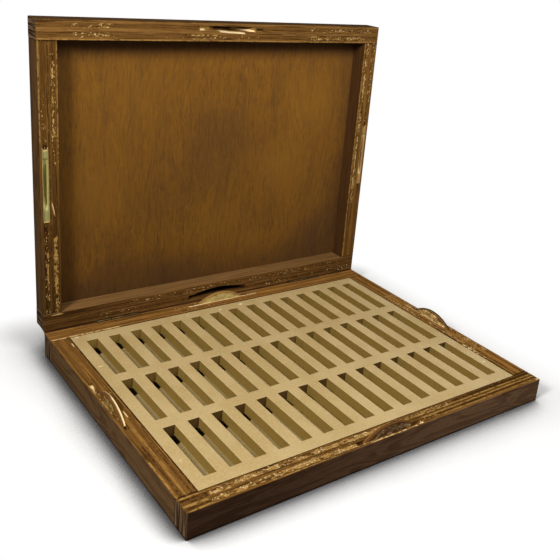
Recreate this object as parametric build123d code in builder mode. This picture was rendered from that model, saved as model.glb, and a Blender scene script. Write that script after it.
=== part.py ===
"""Flat hinged storage box: two plywood frames, a slotted insert, joining biscuits and stop hinges.

Millimetres, +X to the right along the front, +Y to the back, +Z up. The origin is the centre of
the underside. The lid is modelled standing open at a right angle, on the stops of its hinges.
"""

import os
from dataclasses import dataclass

from build123d import *

os.makedirs("parts", exist_ok=True)

# Box
box_width = 383.0
box_depth = 296.0
base_height = 23.5
lid_height = 21.5
seam_gap = 0.3  # between the two rims when the lid is shut

# Plywood rails of both frames
rail_thickness = 18.0

# Thin panels, let into rounded rabbets in the outer faces of the frames
panel_thickness = 3.0
panel_lap = 9.0
rabbet_corner_radius = 6.0
panel_clearance = 0.2

# Boards inside the base
insert_thickness = 10.0
insert_drop = 0.5  # the insert's face below the rim
board_clearance = 0.5
slot_columns = 15
slot_rows = 3
slot_width = 11.0
slot_length = 69.5

# Holes in the backing board, at the back end of every slot, where a bar is pressed down to tip it up
tipping_hole_diameter = 12.0
tipping_hole_setback = 6.0  # from the slot's end to the hole's middle

# Joining biscuits, one in the middle of each side, and the slots that a round blade leaves for them
biscuit_length = 56.0
biscuit_width = 23.0
biscuit_thickness = 4.0
biscuit_tip = 1.0
biscuit_proud = 9.0
biscuit_setback = 5.2  # from a rail's outer face to the biscuit's middle
blade_radius = 50.0
blade_depth = 15.5
biscuit_fit = 0.1
lid_slot_fit = 0.4

# Curved relief beside the lid's back slot, where the back biscuit swings out of it
relief_length = 60.0
relief_clearance = 0.4

# Dowels in the corners
dowel_diameter = 6.0
dowel_length = 28.0
dowel_depth_in_long_rail = 12.0
dowel_rim_distance = 5.5
dowel_rabbet_distance = 5.0
dowel_fit = 0.05
dowel_end_gap = 0.8

# Stop hinges on the back faces
hinge_inset = 75.0  # from the ends of the box to the middles of the hinges
leaf_length = 44.0
leaf_height = 13.0
leaf_thickness = 0.8
axis_setback = 0.8  # from the back faces to the hinge axis
lid_knuckle_length = 14.4
knuckle_gap = 0.3
groove_clearance = 0.3
pin_radius = 0.75
pin_fit = 0.05
pin_head_radius = 1.2
pin_head_length = 0.6
stop_thickness = 1.2
stop_reach = 3.6
stop_clearance = 0.1

# Countersunk screws, three in each leaf
screw_count = 3
screw_pitch = 15.0
screw_seam_distance = 7.5
screw_radius = 1.1
screw_length = 10.5
screw_point_length = 2.0
screw_notch_width = 0.5
screw_notch_depth = 0.3

# Worked out from the sizes above
axis_y = box_depth / 2 + axis_setback
axis_z = base_height + seam_gap / 2
inner_width = box_width - 2 * rail_thickness
inner_depth = box_depth - 2 * rail_thickness
rabbet_width = inner_width + 2 * panel_lap
rabbet_depth = inner_depth + 2 * panel_lap
insert_width = inner_width - 2 * board_clearance
insert_depth = inner_depth - 2 * board_clearance
insert_floor = base_height - insert_drop - insert_thickness
column_pitch = slot_width + (insert_width - slot_columns * slot_width) / (slot_columns + 1)
row_pitch = slot_length + (insert_depth - slot_rows * slot_length) / (slot_rows + 1)
hinge_middles = {"left": hinge_inset - box_width / 2, "right": box_width / 2 - hinge_inset}
knuckle_radius = axis_setback + leaf_thickness
screw_head_radius = screw_radius + leaf_thickness
swing_radius = (
    (axis_setback + biscuit_setback + biscuit_thickness / 2) ** 2
    + (biscuit_proud - seam_gap / 2) ** 2
) ** 0.5


@dataclass(frozen=True)
class Half:
    """One half of the box, on its rim plane: X along the hinge edge, Y to the front, Z outwards."""

    name: str
    rim: Plane
    height: float
    left: int
    slot_fit: float

    def across(self, side):
        """Plane square to a rail through its slot's middle: X along the rail, Y out of the rim."""
        to_front = {"back": biscuit_setback, "front": box_depth - biscuit_setback}
        if side in to_front:
            point = self.rim.from_local_coords((0, to_front[side], 0))
            return Plane(origin=point, x_dir=self.rim.x_dir, z_dir=self.rim.y_dir)
        toward = self.left if side == "left" else -self.left
        to_side = toward * (box_width / 2 - biscuit_setback)
        point = self.rim.from_local_coords((to_side, box_depth / 2, 0))
        return Plane(origin=point, x_dir=self.rim.y_dir, z_dir=-self.rim.x_dir)

    def back_face(self):
        """Plane of the hinge side's outer face: X along the hinge edge, Y away from the seam."""
        return Plane(origin=self.rim.origin, x_dir=self.rim.x_dir, z_dir=-self.rim.y_dir)

    def corner_faces(self):
        """Planes of the butt joints, each pointing into the long rail: X sideways, Y to the seam."""
        hinge_side = self.rim.from_local_coords((0, rail_thickness, 0))
        front_side = self.rim.from_local_coords((0, box_depth - rail_thickness, 0))
        return (
            Plane(origin=hinge_side, x_dir=-self.rim.x_dir, z_dir=-self.rim.y_dir),
            Plane(origin=front_side, x_dir=self.rim.x_dir, z_dir=self.rim.y_dir),
        )

    def dowel_spots(self):
        """Centres of a butt joint's dowels, two in each corner."""
        upper = -dowel_rim_distance
        lower = -(self.height - panel_thickness - dowel_rabbet_distance)
        middle = (box_width - rail_thickness) / 2
        return [(x, y) for x in (-middle, middle) for y in (upper, lower)]


base = Half(
    name="base",
    rim=Plane(origin=(0, box_depth / 2, base_height), x_dir=(1, 0, 0), z_dir=(0, 0, -1)),
    height=base_height,
    left=-1,
    slot_fit=biscuit_fit,
)
lid = Half(
    name="lid",
    rim=Plane(
        origin=(0, axis_y + seam_gap / 2, axis_z + axis_setback), x_dir=(-1, 0, 0), z_dir=(0, 1, 0)
    ),
    height=lid_height,
    left=1,
    slot_fit=lid_slot_fit,
)


def save(piece, name):
    """Label a finished piece and write its STEP file."""
    piece.part.label = name
    export_step(piece.part, f"parts/{name}.step")


def cut_rabbet(half):
    """Cut the rounded rabbet that the thin panel lies in."""
    with BuildSketch(half.rim.offset(half.height - panel_thickness)) as outline:
        with Locations((0, box_depth / 2)):
            RectangleRounded(rabbet_width, rabbet_depth, rabbet_corner_radius)
    extrude(outline.sketch, amount=panel_thickness, mode=Mode.SUBTRACT)


def cut_slot(half, side):
    """Cut a biscuit slot: the part of a round blade that plunged below the rim."""
    with BuildSketch(half.across(side)) as blade:
        with Locations((0, blade_radius - blade_depth)):
            Circle(blade_radius)
    to_wall = biscuit_thickness / 2 + half.slot_fit
    extrude(blade.sketch, amount=to_wall, both=True, mode=Mode.SUBTRACT)


def cut_relief(half):
    """Widen the back slot inwards in an arc, so that the biscuit clears it while the lid swings."""
    outer_wall = biscuit_setback - biscuit_thickness / 2 - half.slot_fit
    inner_wall = biscuit_setback + biscuit_thickness / 2 + half.slot_fit
    swing_wall = swing_radius + relief_clearance - axis_setback
    end = relief_length / 2
    with BuildSketch(half.rim) as pocket:
        with BuildLine():
            ThreePointArc((-end, inner_wall), (0, swing_wall), (end, inner_wall))
            Polyline((end, inner_wall), (end, outer_wall), (-end, outer_wall), (-end, inner_wall))
        make_face()
    extrude(pocket.sketch, amount=biscuit_proud + relief_clearance, mode=Mode.SUBTRACT)


def dowel_rods(half, radius, end_gap, mode):
    """Rods through a half's corner joints, for the dowels themselves or for their holes."""
    for face in half.corner_faces():
        with BuildSketch(face.offset(dowel_depth_in_long_rail + end_gap)) as ends:
            with Locations(*half.dowel_spots()):
                Circle(radius)
        extrude(ends.sketch, amount=-(dowel_length + 2 * end_gap), mode=mode)


def cut_dowel_holes(half):
    """Bore the dowel holes of a half's corners."""
    dowel_rods(half, dowel_diameter / 2 + dowel_fit, dowel_end_gap, Mode.SUBTRACT)


def cut_hinge_seats(half):
    """Let the leaves into the back face, groove the edge for the knuckles and bore for screws."""
    for hinge_x in hinge_middles.values():
        with BuildSketch(half.back_face()) as seat:
            with Locations((hinge_x, leaf_height / 2)):
                Rectangle(leaf_length, leaf_height)
        extrude(seat.sketch, amount=-leaf_thickness, mode=Mode.SUBTRACT)
        with BuildSketch(Plane.YZ.offset(hinge_x)) as groove:
            with Locations((axis_y, axis_z)):
                Circle(knuckle_radius + groove_clearance)
        to_end = leaf_length / 2 + pin_head_length + groove_clearance
        extrude(groove.sketch, amount=to_end, both=True, mode=Mode.SUBTRACT)
    add_screws(half, Mode.SUBTRACT)


def add_screws(half, mode):
    """Turned screw bodies for both leaves of a half, added or cut out of what they go into."""
    for hinge_x in hinge_middles.values():
        for step in range(screw_count):
            along = hinge_x + (step - (screw_count - 1) / 2) * screw_pitch
            point = half.back_face().from_local_coords((along, screw_seam_distance, 0))
            lengthwise = Plane(origin=point, x_dir=half.rim.x_dir, z_dir=half.rim.z_dir)
            with BuildSketch(lengthwise) as profile:
                with BuildLine():
                    Polyline(
                        (0, 0),
                        (screw_head_radius, 0),
                        (screw_radius, leaf_thickness),
                        (screw_radius, screw_length - screw_point_length),
                        (0, screw_length),
                        close=True,
                    )
                make_face()
            revolve(profile.sketch, axis=Axis(point, half.rim.y_dir), mode=mode)


def long_rail(half, side):
    """Front or back rail, the full width of the box."""
    from_hinge = {"back": rail_thickness / 2, "front": box_depth - rail_thickness / 2}[side]
    with BuildPart() as rail:
        with BuildSketch(half.rim):
            with Locations((0, from_hinge)):
                Rectangle(box_width, rail_thickness)
        extrude(amount=half.height)
        cut_rabbet(half)
        cut_slot(half, side)
        cut_dowel_holes(half)
        if side == "back":
            cut_hinge_seats(half)
        if side == "back" and half is lid:
            cut_relief(half)
    save(rail, f"{half.name}_{side}_rail")


def side_rail(half, side):
    """Left or right rail, butted between the long ones."""
    toward = half.left if side == "left" else -half.left
    with BuildPart() as rail:
        with BuildSketch(half.rim):
            with Locations((toward * (box_width - rail_thickness) / 2, box_depth / 2)):
                Rectangle(rail_thickness, inner_depth)
        extrude(amount=half.height)
        cut_rabbet(half)
        cut_slot(half, side)
        cut_dowel_holes(half)
    save(rail, f"{half.name}_{side}_rail")


def panel(half, name):
    """Thin panel that fills the rabbet, flush with the frame's outer face."""
    with BuildPart() as sheet:
        with BuildSketch(half.rim.offset(half.height - panel_thickness)):
            with Locations((0, box_depth / 2)):
                RectangleRounded(
                    rabbet_width - 2 * panel_clearance,
                    rabbet_depth - 2 * panel_clearance,
                    rabbet_corner_radius - panel_clearance,
                )
        extrude(amount=panel_thickness)
    save(sheet, name)


def dowels(half):
    """The dowels of a half, two in each corner."""
    with BuildPart() as rods:
        dowel_rods(half, dowel_diameter / 2, 0, Mode.ADD)
    save(rods, f"{half.name}_dowels")


def biscuit(side):
    """Lens of pressed wood, glued into the base and standing proud of its rim."""
    top = biscuit_proud
    middle = biscuit_proud - biscuit_width / 2
    bottom = biscuit_proud - biscuit_width
    end = biscuit_length / 2
    with BuildPart() as lens:
        with BuildSketch(base.across(side)):
            with BuildLine():
                ThreePointArc((-end, middle + biscuit_tip / 2), (0, top), (end, middle + biscuit_tip / 2))
                Line((end, middle + biscuit_tip / 2), (end, middle - biscuit_tip / 2))
                ThreePointArc((end, middle - biscuit_tip / 2), (0, bottom), (-end, middle - biscuit_tip / 2))
                Line((-end, middle - biscuit_tip / 2), (-end, middle + biscuit_tip / 2))
            make_face()
        extrude(amount=biscuit_thickness / 2, both=True)
    save(lens, f"{side}_biscuit")


def knuckle_spans(hinge_x):
    """Ends along X of the lid's middle knuckle and of the base's two outer ones."""
    inner = lid_knuckle_length / 2
    outer = leaf_length / 2
    start = inner + knuckle_gap
    return (
        [(hinge_x - inner, hinge_x + inner)],
        [(hinge_x - outer, hinge_x - start), (hinge_x + start, hinge_x + outer)],
    )


def leaf(half, hinge_x, own_spans, other_spans):
    """Plate of a leaf with its knuckles, cut back around the other leaf's knuckles."""
    along = hinge_x * half.rim.x_dir.X
    with BuildSketch(half.back_face()) as plate:
        with Locations((along, (leaf_height - seam_gap / 2) / 2)):
            Rectangle(leaf_length, leaf_height + seam_gap / 2)
    extrude(plate.sketch, amount=-leaf_thickness)
    for start, end in other_spans:
        with BuildSketch(Plane.YZ.offset(start - knuckle_gap)) as groove:
            with Locations((axis_y, axis_z)):
                Circle(knuckle_radius + groove_clearance)
        extrude(groove.sketch, amount=end - start + 2 * knuckle_gap, mode=Mode.SUBTRACT)
    for start, end in own_spans:
        with BuildSketch(Plane.YZ.offset(start)) as knuckle:
            with Locations((axis_y, axis_z)):
                Circle(knuckle_radius)
        extrude(knuckle.sketch, amount=end - start)


def bore_and_sink(half, hinge_x):
    """Bore a leaf for its pin and countersink it for its screws."""
    with BuildSketch(Plane.YZ.offset(hinge_x)) as bore:
        with Locations((axis_y, axis_z)):
            Circle(pin_radius + pin_fit)
    extrude(bore.sketch, amount=leaf_length / 2, both=True, mode=Mode.SUBTRACT)
    add_screws(half, Mode.SUBTRACT)


def hinge(side, hinge_x):
    """Stop hinge: base leaf, lid leaf with the lip that meets the base leaf, and headed pin."""
    lid_spans, base_spans = knuckle_spans(hinge_x)

    with BuildPart() as base_leaf:
        leaf(base, hinge_x, base_spans, lid_spans)
        bore_and_sink(base, hinge_x)
    save(base_leaf, f"{side}_hinge_base_leaf")

    with BuildPart() as lid_leaf:
        leaf(lid, hinge_x, lid_spans, base_spans)
        with BuildSketch(Plane.YZ.offset(hinge_x)):
            with Locations((box_depth / 2 + stop_clearance, axis_z)):
                Rectangle(stop_thickness, stop_reach, align=(Align.MIN, Align.MAX))
        extrude(amount=lid_knuckle_length / 2, both=True)
        bore_and_sink(lid, hinge_x)
    save(lid_leaf, f"{side}_hinge_lid_leaf")

    with BuildPart() as pin:
        for start, radius, length in (
            (-leaf_length / 2 - pin_head_length, pin_head_radius, pin_head_length),
            (-leaf_length / 2, pin_radius, leaf_length),
            (leaf_length / 2, pin_head_radius, pin_head_length),
        ):
            with BuildSketch(Plane.YZ.offset(hinge_x + start)):
                with Locations((axis_y, axis_z)):
                    Circle(radius)
            extrude(amount=length)
    save(pin, f"{side}_hinge_pin")


def screws(half):
    """The six screws of a half's leaves, with a notch across each head."""
    with BuildPart() as group:
        add_screws(half, Mode.ADD)
        with BuildSketch(half.back_face()):
            with Locations((0, screw_seam_distance)):
                Rectangle(box_width, screw_notch_width)
        extrude(amount=-screw_notch_depth, mode=Mode.SUBTRACT)
    save(group, f"{half.name}_leaf_screws")


# Frames, panels and dowels of both halves
for half, panel_name in ((base, "bottom_panel"), (lid, "lid_panel")):
    for side in ("front", "back"):
        long_rail(half, side)
    for side in ("left", "right"):
        side_rail(half, side)
    panel(half, panel_name)
    dowels(half)
    screws(half)

# Backing board on the bottom panel, drilled through where the slots end
with BuildPart() as backing_board:
    with BuildSketch(Plane.XY.offset(panel_thickness)):
        Rectangle(insert_width, insert_depth)
        with GridLocations(column_pitch, row_pitch, slot_columns, slot_rows):
            with Locations((0, slot_length / 2 - tipping_hole_setback)):
                Circle(tipping_hole_diameter / 2, mode=Mode.SUBTRACT)
    extrude(amount=insert_floor - panel_thickness)
save(backing_board, "backing_board")

# Insert with its slots cut right through, between even lands
with BuildPart() as slotted_insert:
    with BuildSketch(Plane.XY.offset(insert_floor)):
        Rectangle(insert_width, insert_depth)
        with GridLocations(column_pitch, row_pitch, slot_columns, slot_rows):
            Rectangle(slot_width, slot_length, mode=Mode.SUBTRACT)
    extrude(amount=insert_thickness)
save(slotted_insert, "slotted_insert")

# Biscuits and hinges
for side in ("front", "back", "left", "right"):
    biscuit(side)
for side, hinge_x in hinge_middles.items():
    hinge(side, hinge_x)
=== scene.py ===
"""Bullion storage box: the finish of its wood, board and brass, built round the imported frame.

The frame is in metres, +X to the right along the front, +Y to the hinges and +Z up. Sizes in the
classes are in millimetres, and become metres where a mesh is made.
"""

import logging
import math
from collections.abc import Sequence
from dataclasses import dataclass
from enum import Enum

import bpy
import numpy as np
from mathutils import Matrix, Vector


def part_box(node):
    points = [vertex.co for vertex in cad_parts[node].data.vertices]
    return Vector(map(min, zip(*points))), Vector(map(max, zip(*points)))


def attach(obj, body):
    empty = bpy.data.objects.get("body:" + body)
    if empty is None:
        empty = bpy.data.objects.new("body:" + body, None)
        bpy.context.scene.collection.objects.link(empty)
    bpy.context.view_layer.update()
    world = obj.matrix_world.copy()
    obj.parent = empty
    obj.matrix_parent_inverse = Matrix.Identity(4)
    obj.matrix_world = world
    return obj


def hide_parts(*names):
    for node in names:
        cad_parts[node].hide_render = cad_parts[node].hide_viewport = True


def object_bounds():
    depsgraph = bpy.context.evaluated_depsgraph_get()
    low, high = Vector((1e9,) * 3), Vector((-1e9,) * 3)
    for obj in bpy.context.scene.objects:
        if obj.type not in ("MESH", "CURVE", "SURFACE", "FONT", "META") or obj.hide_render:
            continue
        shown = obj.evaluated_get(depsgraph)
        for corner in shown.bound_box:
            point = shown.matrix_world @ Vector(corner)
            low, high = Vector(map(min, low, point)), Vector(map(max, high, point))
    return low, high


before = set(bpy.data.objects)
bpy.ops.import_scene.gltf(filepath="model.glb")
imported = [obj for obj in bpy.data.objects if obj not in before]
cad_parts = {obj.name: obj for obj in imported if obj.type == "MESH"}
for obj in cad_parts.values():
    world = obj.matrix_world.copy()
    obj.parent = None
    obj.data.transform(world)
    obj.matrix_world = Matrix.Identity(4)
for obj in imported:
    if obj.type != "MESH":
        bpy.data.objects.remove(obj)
cad_low, cad_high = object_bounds()

MM = 0.001
SHARP_ANGLE = math.radians(35)
WALL_GAP = 0.03  # between the two lines of vertices that make a slot's upright wall

log = logging.getLogger("box")

Array = np.ndarray
Pair = tuple[float, float]
Triple = tuple[float, float, float]
Colour = Triple
Material = bpy.types.Material
Piece = bpy.types.Object
Socket = bpy.types.NodeSocket


class Body(Enum):
    """The two halves that the pieces ride on."""

    BASE = "base"
    LID = "lid"


class Side(Enum):
    """Sides of a half, as seen from the front of the open box."""

    FRONT = "front"
    BACK = "back"
    LEFT = "left"
    RIGHT = "right"


def smooth(value: Array, low: float, high: float) -> Array:
    """Ease from 0 at low to 1 at high, which may be under low."""
    share = np.clip((value - low) / (high - low), 0, 1)
    return share * share * (3 - 2 * share)


def band(value: Array, start: float, end: float, out: float, within: float) -> Array:
    """1 from a start to an end, easing to 0 from so far within them to so far out."""
    return smooth(value, start - out, start + within) * smooth(value, end + out, end - within)


def arc(radius: float, u: Array) -> Array:
    """Height of a circle at distances from its middle, 0 past its ends."""
    return np.sqrt(np.clip(radius**2 - u**2, 0, None))


def spread(knots: Sequence[float], step: float) -> Array:
    """Places from the first knot to the last, through every knot, at most a step apart."""
    pairs = zip(knots, knots[1:])
    parts = [np.linspace(a, b, max(1, math.ceil((b - a) / step)) + 1)[:-1] for a, b in pairs]
    return np.concatenate([*parts, [knots[-1]]])


def rows(kind: type, *values: tuple[float, ...]) -> tuple:
    """Objects of one kind, each from a row of its numbers."""
    return tuple(kind(*row) for row in values)


class Noise:
    """Smooth seeded noise over a plane, from 0 to 1."""

    size: int = 512  # points each way before it repeats
    shift: float = 17.3  # between the layers

    def __init__(self, seed: int) -> None:
        """Fill the lattice from its seed."""
        self.lattice = np.random.default_rng(seed).random((self.size, self.size))

    def at(self, x: Array, y: Array) -> Array:
        """Noise with features about one unit wide.

        Args:
            x: First coordinates.
            y: Second coordinates.

        Returns:
            The noise at each point.
        """
        left, low = np.floor(x).astype(int), np.floor(y).astype(int)
        across, up = smooth(x - left, 0, 1), smooth(y - low, 0, 1)
        left, low = left % self.size, low % self.size
        right, high = (left + 1) % self.size, (low + 1) % self.size
        bottom = self.lattice[left, low] * (1 - across) + self.lattice[right, low] * across
        top = self.lattice[left, high] * (1 - across) + self.lattice[right, high] * across
        return bottom * (1 - up) + top * up

    def layered(self, x: Array, y: Array, octaves: int = 3) -> Array:
        """Noise with finer layers added, each half as strong as the last.

        Args:
            x: First coordinates.
            y: Second coordinates.
            octaves: How many layers.

        Returns:
            The noise at each point, from 0 to 1.
        """
        total, weight = 0.0, 0.0
        for octave in range(octaves):
            share, shift = 0.5**octave, self.shift * octave
            total = total + share * self.at(x * 2**octave + shift, y * 2**octave - shift)
            weight += share
        return total / weight


def node_box(node: str) -> tuple[Array, Array]:
    """Lowest and highest corner of a node of the frame, in millimetres."""
    low, high = (np.array(corner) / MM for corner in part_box(node))
    return low, high


def add_object(name: str, data: bpy.types.ID) -> Piece:
    """Put a new object into the scene."""
    piece = bpy.data.objects.new(name, data)
    bpy.context.scene.collection.objects.link(piece)
    return piece


def add_mesh(name: str, points: Array, faces: list, material: Material, **values: Array) -> Piece:
    """Make a mesh object whose faces look outwards.

    Args:
        name: Name of the object.
        points: Vertices, in metres.
        faces: Vertex numbers of each face.
        material: Its finish.
        **values: Numbers or vectors, one for each vertex, that the finish reads by name.

    Returns:
        The new object.
    """
    mesh = bpy.data.meshes.new(name)
    mesh.from_pydata(points.tolist(), [], faces)
    mesh.materials.append(material)
    for key, numbers in values.items():
        single = numbers.size == len(points)
        layer = mesh.attributes.new(key, "FLOAT" if single else "FLOAT_VECTOR", "POINT")
        layer.data.foreach_set("value" if single else "vector", numbers.astype(np.float32).ravel())
    piece = add_object(name, mesh)
    mesh.shade_smooth()
    mesh.set_sharp_from_angle(angle=SHARP_ANGLE)
    return piece


def settle(piece: Piece, body: Body, node: str) -> None:
    """Put a piece in the place of its node.

    Args:
        piece: The piece.
        body: Body that it rides on.
        node: Node that it replaces.
    """
    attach(piece, body.value)
    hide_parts(node)
    log.info("%s stands for %s, %d faces", piece.name, node, len(piece.data.polygons))


def swept(shape: tuple[int, int], flipped: bool) -> list[list[int]]:
    """Faces of a closed outline that is swept along a line.

    Args:
        shape: Number of stations, and of vertices at each.
        flipped: Whether the faces have to look the other way.

    Returns:
        The faces, and one to close each end.
    """
    number = np.arange(shape[0] * shape[1]).reshape(shape)
    ring = np.roll(number, -1, 1)
    quads = np.stack([number[:-1], ring[:-1], ring[1:], number[1:]], -1).reshape(-1, 4)
    faces = quads.tolist() + [number[0, ::-1].tolist(), number[-1].tolist()]
    return [face[::-1] for face in faces] if flipped else faces


class Tree:
    """Shorthand for building the nodes of one material, or of the world."""

    def __init__(self, name: str, world: bool = False) -> None:
        """Start the nodes.

        Args:
            name: Name of the new material or world.
            world: Whether it is a world.
        """
        self.owner = (bpy.data.worlds if world else bpy.data.materials).new(name)
        self.owner.use_nodes = True
        self.nodes, self.links = self.owner.node_tree.nodes, self.owner.node_tree.links

    def put(self, kind: str, inputs: dict | None = None, **settings: object) -> bpy.types.Node:
        """Add a node.

        Args:
            kind: Its type, without the leading word ShaderNode.
            inputs: Numbers, colours or sockets for its inputs, by name or number.
            **settings: Its other properties.

        Returns:
            The node.
        """
        node = self.nodes.new("ShaderNode" + kind)
        for key, value in settings.items():
            setattr(node, key, value)
        for key, value in (inputs or {}).items():
            self.feed(node.inputs[key], value)
        return node

    def feed(self, socket: Socket, value: object) -> None:
        """Link a socket to an input, or set the input.

        Args:
            socket: The input.
            value: A socket, number, vector or colour.
        """
        if isinstance(value, Socket):
            self.links.new(value, socket)
        elif socket.type == "RGBA":
            socket.default_value = (*value, 1.0)
        else:
            socket.default_value = value

    def place(self) -> Socket:
        """Place on the piece, in millimetres of the frame at rest."""
        return self.scaled(self.put("TexCoord").outputs["Object"], (1 / MM,) * 3)

    def attribute(self, name: str, output: str = "Fac") -> Socket:
        """Value stored on the mesh."""
        return self.put("Attribute", attribute_name=name).outputs[output]

    def scaled(self, vector: Socket, by: Triple) -> Socket:
        """Vector with each part multiplied."""
        return self.put("VectorMath", {0: vector, 1: by}, operation="MULTIPLY").outputs[0]

    def swayed(self, place: Socket, scale: Triple, by: Triple) -> Socket:
        """Place moved up to so far each way, by noise of the given scale."""
        wave = self.put("TexNoise", {"Vector": self.scaled(place, scale), "Scale": 1.0, "Detail": 2.0})
        inputs = {0: wave.outputs["Color"], 1: by, 2: place}
        return self.put("VectorMath", inputs, operation="MULTIPLY_ADD").outputs[0]

    def parts(self, vector: Socket) -> tuple[Socket, ...]:
        """The three parts of a vector."""
        return tuple(self.put("SeparateXYZ", {0: vector}).outputs)

    def noise(
        self, place: Socket, scale: Triple, detail: int, roughness: float = 0.55, bend: float = 0.0
    ) -> Socket:
        """Fractal noise, about 0.5 on the whole, with so many features to a millimetre each way."""
        inputs = {"Vector": self.scaled(place, scale), "Scale": 1.0, "Detail": detail}
        return self.put("TexNoise", inputs | {"Roughness": roughness, "Distortion": bend}).outputs[0]

    def math(self, operation: str, *values: object) -> Socket:
        """Result of a maths node."""
        return self.put("Math", dict(enumerate(values)), operation=operation).outputs[0]

    def folded(self, value: Socket, times: float) -> Socket:
        """Value multiplied, then folded to and fro between 0 and 1."""
        return self.math("PINGPONG", self.math("MULTIPLY", value, times), 1.0)

    def length(self, *sides: Socket) -> Socket:
        """Length of the diagonal over two sides."""
        return self.math("SQRT", self.math("ADD", *(self.math("POWER", side, 2) for side in sides)))

    def eased(self, value: object, low: float, high: float, to: float = 1.0) -> Socket:
        """Ease from 0 at low to the last number at high."""
        inputs = {"Value": value, "From Min": low, "From Max": high, "To Max": to}
        return self.put("MapRange", inputs, interpolation_type="SMOOTHSTEP").outputs["Result"]

    def mix(self, share: object, first: object, second: object, how: str = "MIX") -> Socket:
        """Blend of two colours, with the given share of the second."""
        inputs = {0: share, 6: first, 7: second}
        return self.put("Mix", inputs, data_type="RGBA", blend_type=how).outputs[2]

    def layers(self, colour: object, *over: tuple) -> Socket:
        """Colour with tones laid over it.

        Args:
            colour: The lowest colour.
            *over: For each tone a value, the level where it starts, the level where it is full,
                its greatest share, and the tone.

        Returns:
            The colour on top.
        """
        for value, low, high, share, tone in over:
            colour = self.mix(self.eased(value, low, high, share), colour, tone)
        return colour

    def painted(self, colour: object, **tones: object) -> Socket:
        """Colour with tones laid over it where the values of their names on the mesh say so."""
        for name, tone in tones.items():
            colour = self.mix(self.attribute(name), colour, tone)
        return colour

    def shaded(self, colour: Socket, level: Socket) -> Socket:
        """Colour multiplied by a grey of the given level."""
        grey = self.put("CombineXYZ", {0: level, 1: level, 2: level}).outputs[0]
        return self.mix(1.0, colour, grey, "MULTIPLY")

    def ramp(self, value: Socket, stops: Sequence[Pair]) -> Socket:
        """Grey ramp.

        Args:
            value: Where to read it.
            stops: Places and levels that it goes through.

        Returns:
            The level.
        """
        node = self.put("ValToRGB", {0: value})
        points = node.color_ramp.elements
        while len(points) < len(stops):
            points.new(1.0)
        for point, (spot, level) in zip(points, stops):
            point.position = spot
            point.color = (level, level, level, 1)
        return node.outputs[0]

    def bump(self, height: Socket, depth: float, **under: Socket) -> Socket:
        """Normal of a relief of a depth in millimetres, over the Normal of another where given."""
        inputs = {"Height": height, "Distance": depth * MM, "Strength": 1.0, **under}
        return self.put("Bump", inputs).outputs[0]

    def seen(self) -> Socket:
        """1 for the rays that the picture shows: straight, mirrored or through glass."""
        rays = self.put("LightPath").outputs
        shown = self.math("MAXIMUM", rays["Is Camera Ray"], rays["Is Glossy Ray"])
        return self.math("MAXIMUM", shown, rays["Is Transmission Ray"])

    def dress(self, colour: Socket, roughness: Socket, normal: Socket, **others: float) -> Material:
        """Feed the shader.

        Args:
            colour: Its base colour.
            roughness: Its roughness.
            normal: Its normal.
            **others: Its other inputs, with an underscore for each space in their names.

        Returns:
            The material.
        """
        values = {"Base_Color": colour, "Roughness": roughness, "Normal": normal, **others}
        for key, value in values.items():
            self.feed(self.nodes["Principled BSDF"].inputs[key.replace("_", " ")], value)
        return self.owner


@dataclass(frozen=True)
class PlyLayers:
    """Lay-up of the rails' plywood, in millimetres from a rail's outer face inwards."""

    thickness: float = 18.0
    cross_bands: tuple[Pair, ...] = ((2.5, 6.9), (11.1, 15.5))
    blur: float = 0.35

    def cross(self, v: Array) -> Array:
        """Share of the surface that is cross-grain ply, at distances from the outer face."""
        return sum(band(v, start, end, self.blur, self.blur) for start, end in self.cross_bands)

    def stops(self) -> list[Pair]:
        """Places of the cross-grain bands, as shares of the thickness, and their levels.

        Returns:
            The places and levels, in order.
        """
        found = []
        for start, end in self.cross_bands:
            places = (start - self.blur, start + self.blur, end - self.blur, end + self.blur)
            found += [(place / self.thickness, level) for place, level in zip(places, (0, 1, 1, 0))]
        return found


PLY = PlyLayers()


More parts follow.
